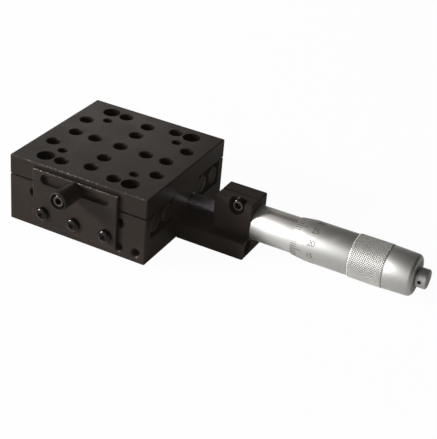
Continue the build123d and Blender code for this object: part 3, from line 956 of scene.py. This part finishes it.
def cross_wing(x, z, face, turn):
    """One wing of the cross driver's tip, narrower at its point, in the front of a screw."""
    bpy.ops.mesh.primitive_cube_add(size=mm)
    wing = bpy.context.object
    bpy.ops.object.mode_set(mode="EDIT")
    length = 3.3
    depth = 1.9
    width = 0.62
    bpy.ops.transform.resize(value=(length, depth, width), center_override=origin)
    select_faces(wing, lambda middle, normal: normal.y > 0.9)
    bpy.ops.transform.resize(value=(0.32, 1, 0.7), center_override=(0, 0.9 * mm, 0))
    select_all()
    bpy.ops.transform.rotate(value=math.radians(turn), orient_axis="Y", center_override=origin)
    bpy.ops.transform.translate(value=Vector((x, face + 0.5, z)) * mm)
    close()
    return wing


def cross_screw(number, x, turn):
    """A black pan-head screw with a cross recess."""
    shank_end = plate_face - 6
    outline = [(shank_end, 0), (shank_end, m3_shank), (plate_face, m3_shank)]
    outline += [(plate_face + place, radius) for place, radius in pan_dome]
    screw = turned(f"plate_screw_{number}", front_line(x, plate_screw_z), outline, steps=48)
    for wing_turn in (turn, turn + 90):
        cut_out(screw, cross_wing(x, plate_screw_z, -plate_face - pan_height, wing_turn))
    smooth(screw, 40)
    return fitted(screw, black_oxide, "base", "black_screws")


def plate_screws():
    screws = [cross_screw(1, -15, 35), cross_screw(2, 0, 12), cross_screw(3, 15, 50)]
    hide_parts("plate_screws")


def socket_screw(node, x, z, seat, length, body, turn):
    """An M3 socket cap screw that points back from the front, with a lighter steel ring round its
    socket as painted highlight.
    """
    front = seat + m3_height
    screw = turned(
        node + "_dressed",
        front_line(x, z),
        (
            (seat - length, 0),
            (seat - length, m3_shank),
            (seat, m3_shank),
            (seat, m3_head),
            (front - 0.7, m3_head),
            (front - 0.3, 2.6),
            (front - 0.07, 2.35),
            (front, 2.05),
            (front, 1.6),
            (front - 0.2, 1.47),
            (front - 0.2, 0),
        ),
        steps=64,
    )
    bpy.ops.mesh.primitive_cylinder_add(
        vertices=6,
        radius=m3_socket * mm,
        depth=2 * m3_socket_depth * mm,
        location=Vector((x, -front, z)) * mm,
        rotation=(math.radians(90), math.radians(turn), 0),
    )
    cut_out(screw, bpy.context.object)
    smooth(screw, 30)
    fitted(screw, black_oxide, body, "bright_screws", node)

    def on_painted_highlight_ring(middle, normal):
        return 1.5 < math.hypot(middle.x - x, middle.z - z) < 2.0 and -middle.y > front - 0.15

    # Painted highlight on the ring round the socket.
    coat_faces(screw, socket_ring_painted_highlight, on_painted_highlight_ring)


def lock_knob():
    """The knob, hollow in front, where the locking screw's head lies."""
    knob_back = 34.5
    knob_front = 45.8
    chamfer = 0.4
    outside = 4.0
    hollow = 3.2
    bore = 1.55
    knob = turned(
        "lock_knob_dressed",
        front_line(0, lock_z),
        ring(
            (knob_back, bore),
            (knob_back, outside - chamfer),
            (knob_back + chamfer, outside),
            (knob_front - chamfer, outside),
            (knob_front, outside - chamfer),
            (knob_front, hollow),
            (lock_screw_seat, hollow),
            (lock_screw_seat, bore),
        ),
        rounding=0.08,
    )
    fitted(knob, knob_black_and_plate_shade, "lock", "black_anodised", "lock_knob")

    def on_rim(middle, normal):
        return -middle.y > knob_front - 0.45 and normal.y < -0.5

    # The knob's rim gets worn dashes that are partly wear and partly painted highlight.
    coat_faces(knob, knob_rim_wear_highlight, on_rim)


def end_screw_heads(node, body, turn, way_middle):
    """The slotted screws in the ends of one pair of rails, one for each rail end."""
    shank_end = rail_end - 5
    head = 3.8
    head_face = rail_end + 2
    bevel = 0.15
    slot_width = 1.0
    slot_depth = 0.8
    outline = (
        (shank_end, 0),
        (shank_end, m3_shank),
        (rail_end, m3_shank),
        (rail_end, head),
        (head_face - bevel, head),
        (head_face, head - bevel),
        (head_face, 0),
    )
    made = []
    for side in (1, -1):
        for way in (1, -1):
            y = way * way_middle
            line = (Vector((0, y, rail_screw_z)), side * x_way, z_way)
            name = f"{node}_{len(made) + 1}"
            screw = turned(name, line, outline, steps=64, rounding=0.06)
            bpy.ops.mesh.primitive_cube_add(size=mm)
            slot = bpy.context.object
            bpy.ops.object.mode_set(mode="EDIT")
            size = (2 * slot_depth, slot_width, 9)
            bpy.ops.transform.resize(value=size, center_override=origin)
            bpy.ops.transform.rotate(
                value=math.radians(turn), orient_axis="X", center_override=origin
            )
            bpy.ops.transform.translate(value=Vector((side * head_face, y, rail_screw_z)) * mm)
            close()
            cut_out(screw, slot)
            smooth(screw, 30)
            # The end screws take the rails' painted shade.
            made.append(fitted(screw, rail_steel_painted_shade, body, "rail_steel"))
    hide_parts(node)


plate_screws()
lock_knob()
socket_screw("lock_screw", 0, lock_z, seat=lock_screw_seat, length=15.9, body="lock", turn=10)
socket_screw("clamp_screw", 56.1, 20.25, seat=-3.05, length=9.2, body="base", turn=40)
end_screw_heads("base_end_screws", "base", turn=34, way_middle=24.35)
end_screw_heads("table_end_screws", "table", turn=38, way_middle=14.65)


# Marks of the micrometer head

mark_lift = 0.008  # keeps the paint clear of the metal
mark_depth = 0.012
datum_angle = 97  # angles round the head start at the back and go over the top
first_mark_angle = 114.5
numbers_angle = 120
thimble_divisions = 50
division_turn = 360 / thimble_divisions


def thicken():
    """Gives the open flat piece the depth of paint."""
    select_all()
    bpy.ops.mesh.extrude_region_move(TRANSFORM_OT_translate={"value": (0, 0, mark_depth * mm)})
    face_outward()


def flat_mark(name, length, width, middle_x=0.0):
    """One painted line in the flat, its length along x."""
    bpy.ops.mesh.primitive_plane_add(size=mm, location=origin)
    mark = bpy.context.object
    mark.name = name
    bpy.ops.object.mode_set(mode="EDIT")
    bpy.ops.transform.resize(value=(length, width, 1), center_override=origin)
    thicken()
    bpy.ops.transform.translate(value=Vector((middle_x, 0, mark_lift)) * mm)
    close()
    return mark


def cut_across(piece, step):
    """Cuts a flat piece into strips so that it can follow the round."""
    heights = [corner.co.y for corner in piece.data.vertices]
    lowest = min(heights)
    count = int((max(heights) - lowest) / (step * mm))
    edit(piece)
    for cut in range(1, count + 1):
        select_all()
        bpy.ops.mesh.bisect(
            plane_co=(0, lowest + cut * step * mm, 0), plane_no=(0, 1, 0), threshold=1e-7
        )
    close()


def rounded_to(angle, radius):
    """How far round the head an angle is, in millimetres of its surface."""
    return math.radians(angle) * radius


def sleeve_marks():
    """The datum line and the millimetre marks beside it."""
    datum = flat_mark("sleeve_datum_line", 26.2, 0.12, middle_x=80.6)
    wrap_on_head(datum, sleeve_radius, datum_angle)
    fitted(datum, scale_brown, "base", "satin_chrome")
    reach = rounded_to(12, sleeve_radius)
    mark = flat_mark("sleeve_millimetre_marks", 0.36, reach)
    cut_across(mark, 0.3)
    first_mark = 68.4
    travel = 25
    places = [(first_mark + division, -reach / 2) for division in range(travel + 1)]
    marks = copies(mark, places)
    wrap_on_head(marks, sleeve_radius, datum_angle)
    fitted(marks, scale_brown, "base", "satin_chrome")


def bevel_radius(x):
    """Radius of the thimble's outside at a place along it."""
    share = min(1.0, (x - thimble_edge) / (bevel_end - thimble_edge))
    return thimble_edge_radius + share * (thimble_radius - thimble_edge_radius)


def bevel_marks(name, length, width, middle_x, divisions):
    """Marks round the thimble's bevel, which widens along x, at some of its divisions."""
    step = rounded_to(division_turn, thimble_radius)
    mark = flat_mark(name, length, width, middle_x)
    marks = copies(mark, [(0, step * division) for division in divisions])
    for corner in marks.data.vertices:
        corner.co.z += (bevel_radius(corner.co.x / mm) - thimble_radius) * mm
    wrap_on_head(marks, thimble_radius, first_mark_angle)
    fitted(marks, scale_grey, "thimble", "satin_chrome")


def thimble_marks():
    """The thimble's divisions, every fifth one longer."""
    fifths = range(0, thimble_divisions, 5)
    others = [division for division in range(thimble_divisions) if division not in fifths]
    bevel_marks("thimble_marks", 2.8, 0.22, 82.65, others)
    bevel_marks("thimble_fifth_marks", 5.1, 0.24, 83.8, fifths)


def numeral(text, middle_x, middle_y):
    """A number in the flat, its middle at a place."""
    bpy.ops.object.text_add()
    letters = bpy.context.object
    letters.data.body = text
    letters.data.size = 3.6 * mm
    letters.data.align_x = "CENTER"
    letters.data.align_y = "CENTER"
    letters.data.resolution_u = 4
    letters.data.offset = -0.05 * mm
    letters.data.space_character = 0.86
    bpy.ops.object.convert(target="MESH")
    letters = bpy.context.object
    letters.data.transform(Matrix.Translation(Vector((middle_x, middle_y, mark_lift)) * mm))
    return letters


def thimble_numbers():
    """Numbers 0 to 45, one at each fifth mark. They grow upwards at the front."""
    step = rounded_to(5 * division_turn, thimble_radius)
    middle_x = 90.0
    letters = [numeral(str(5 * place), middle_x, step * (place - 5)) for place in range(10)]
    pick(*letters)
    bpy.ops.object.join()
    numbers = bpy.context.object
    numbers.name = "thimble_numbers"
    cut_across(numbers, 0.35)
    edit(numbers)
    thicken()
    close()
    wrap_on_head(numbers, thimble_radius, numbers_angle)
    fitted(numbers, scale_grey, "thimble", "satin_chrome")


sleeve_marks()
thimble_marks()
thimble_numbers()


# Floor, light and camera


def pale_floor():
    """A floor just under the stage: white to the camera, pale paint to the light on the stage."""
    bpy.ops.mesh.primitive_plane_add(size=40)
    floor = bpy.context.object
    floor.name = "floor"
    edit(floor)
    select_all()
    bpy.ops.transform.translate(value=(0, 0, -0.02 * mm))
    close()
    material, desk = finish("pale_floor")
    cloth = desk.noise(900, 2)
    paint = desk.node("BsdfDiffuse", (), {"Color": desk.blend(cloth, grey(0.78), grey(0.8))})
    white = desk.node("Emission", (), {"Color": (1, 1, 1, 1), "Strength": 1.0})
    seen = desk.node("LightPath", output="Is Camera Ray")
    mirrored = desk.node("LightPath", output="Is Glossy Ray")
    through = desk.node("LightPath", output="Is Transmission Ray")
    share = seen * 0.97 + mirrored * 0.03 + through * 0.03
    surface = desk.node("MixShader", (), {"Fac": share, "Shader": paint, "Shader_001": white})
    desk.node("OutputMaterial", (), {"Surface": surface})
    floor.data.materials.append(material)


def studio_light():
    """A pale room: a broad bright front, a white horizon and a dim ceiling."""
    world = bpy.data.worlds.new("studio")
    scene.world = world
    desk = Desk(world)
    way = desk.node("TexCoord", output="Generated")
    front = Vector((-0.363, -0.93, -0.08)).normalized()
    facing = desk.node(
        "VectorMath",
        {"operation": "DOT_PRODUCT"},
        {"Vector": way, "Vector_001": front},
        output="Value",
    )
    height = desk.node("SeparateXYZ", (), {"Vector": way}, output="Z")
    sideways = desk.node("SeparateXYZ", (), {"Vector": way}, output="X")
    bright = desk.range(facing, math.cos(math.radians(60)), math.cos(math.radians(20)))
    ceiling = desk.range(height, 0.03, 0.3)
    shade = desk.range(sideways, 0.0, 0.7)
    level = (0.64 - 0.52 * ceiling) * (1 - 0.75 * shade) + bright
    tint = desk.blend(ceiling * (1 - bright), (0.965, 1, 0.98, 1), (1, 0.93, 0.85, 1))
    room = desk.node("Background", (), {"Color": tint, "Strength": level})
    desk.node("OutputWorld", (), {"Surface": room})


def softbox(name, place, aim, width, power, colour):
    """A square lamp at a place, turned to its aim. Both are in metres."""
    lamp = bpy.data.lights.new(name, "AREA")
    lamp.shape = "RECTANGLE"
    lamp.size = width
    lamp.size_y = width
    lamp.energy = power
    lamp.color = colour
    box = bpy.data.objects.new(name, lamp)
    scene.collection.objects.link(box)
    box.location = place
    box.rotation_euler = (Vector(aim) - Vector(place)).to_track_quat("-Z", "Y").to_euler()


def camera():
    """The camera that was fitted to the table's corners and holes."""
    lens = bpy.data.cameras.new("camera")
    lens.sensor_width = 36
    lens.lens = 94.473
    lens.clip_start = 0.01
    camera_at = bpy.data.objects.new("camera", lens)
    scene.collection.objects.link(camera_at)
    camera_at.location = Vector((219.895, -368.630, 253.297)) * mm
    turn = Matrix.Rotation(math.radians(24.981), 3, "Z")
    tilt = Matrix.Rotation(math.radians(90 - 30.764), 3, "X")
    roll = Matrix.Rotation(math.radians(5.449), 3, "Z")
    camera_at.rotation_euler = (turn @ tilt @ roll).to_euler()
    scene.camera = camera_at


pale_floor()
studio_light()
softbox("key", (-1.2, -0.97, 0.59), (0, 0, 0.02), 0.3, 48, (1, 0.97, 0.94))
softbox("rear", (-0.22, 0.32, 0.17), (0, 0, 0.03), 0.16, 0.07, (1, 0.95, 0.92))
camera()
scene.view_settings.view_transform = "Standard"
